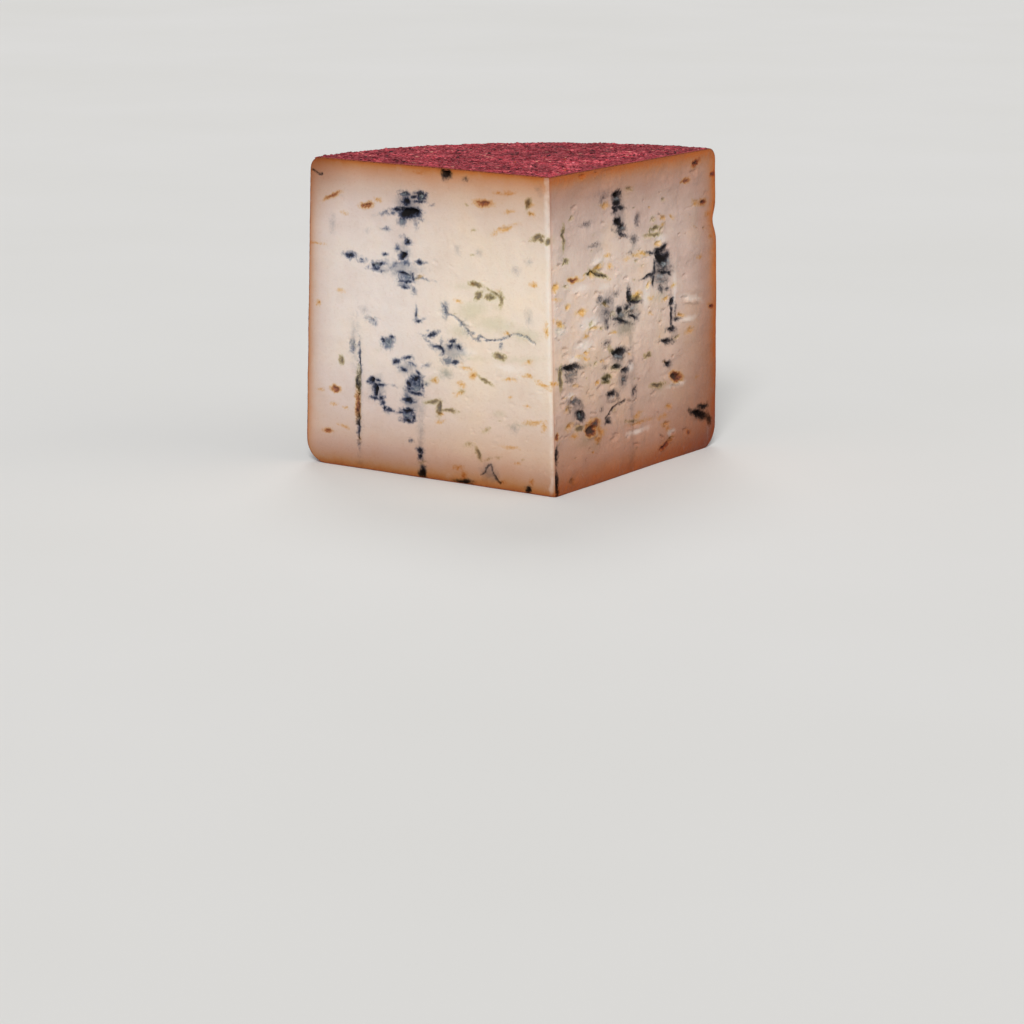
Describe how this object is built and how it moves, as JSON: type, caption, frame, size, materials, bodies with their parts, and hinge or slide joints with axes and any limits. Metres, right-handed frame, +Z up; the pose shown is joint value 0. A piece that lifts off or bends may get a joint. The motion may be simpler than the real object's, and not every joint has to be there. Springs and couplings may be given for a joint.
{
  "type": "blue cheese wedge",
  "caption": "Quarter of a small wheel of blue cheese with two cut faces, mould pockets and a thin crumbly rind, standing on its base.",
  "frame": {"origin": "middle of the base's bounding box, on the surface that the wedge stands on", "axes": "+Z up; -Y towards the point of the wedge; +Y towards the rind; +X towards the right cut's outer edge"},
  "size_m": [0.1653, 0.1178, 0.12],
  "materials": {
    "cheese_paste": "ivory to pinkish-beige cut cheese, slightly moist and crumbly, with blue-black, grey-green and rust mould pockets and veins, browned in a narrow band under the rind",
    "cheese_rind": "thin coating of dried grape skins, crimson and crumbly on top and base, dark burgundy to near-black on the side with pinkish crumbs on its shoulders"
  },
  "bodies": {
    "root": {"cheese_wedge": "cheese_paste"}
  },
  "joints": []
}
